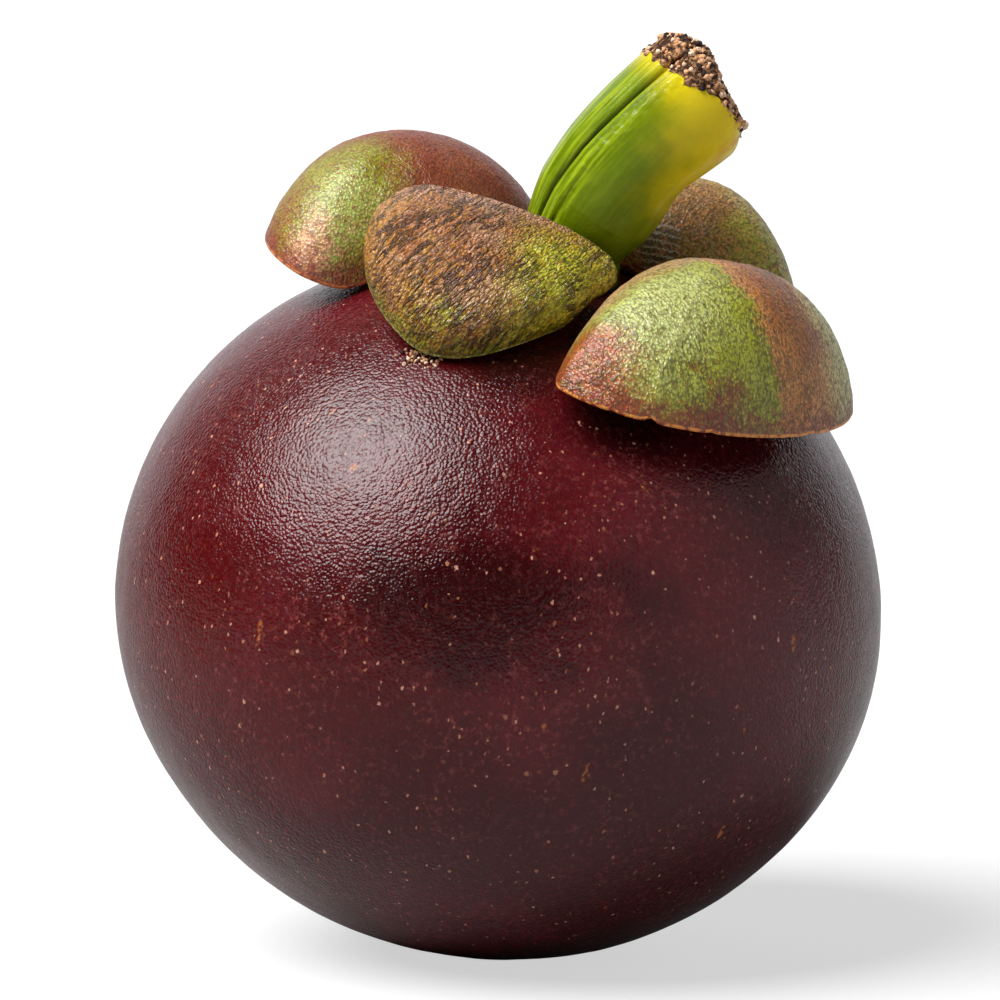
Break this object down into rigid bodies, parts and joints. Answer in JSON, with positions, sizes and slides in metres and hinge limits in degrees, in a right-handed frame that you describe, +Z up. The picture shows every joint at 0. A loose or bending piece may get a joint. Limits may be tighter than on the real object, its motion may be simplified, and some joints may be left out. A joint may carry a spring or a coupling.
{
  "type": "mangosteen",
  "caption": "Whole mangosteen as picked: round purple rind, cupped leathery sepals, a short grooved stalk with a corky end and a woody stigma rosette underneath, at rest on a small flat spot.",
  "frame": {"origin": "centre of the flat spot that the fruit rests on", "axes": "+Z up from the surface it rests on, -Y towards the side that the calyx leans to, +X to the right of that side"},
  "size_m": [0.0598, 0.0596, 0.0719],
  "materials": {
    "rind": "semi-gloss purple-brown rind with a fine leathery grain",
    "sepal": "satin green and brown leathery skin with fine raised wrinkles",
    "stem": "satin fresh green stalk with a dry brown corky end",
    "stigma": "matt dark brown woody scar"
  },
  "bodies": {
    "root": {"rind": "rind", "sepal_front_left": "sepal", "sepal_front_right": "sepal", "sepal_back_left": "sepal", "sepal_back_right": "sepal", "stem": "stem", "stigma_rosette": "stigma"}
  },
  "joints": []
}
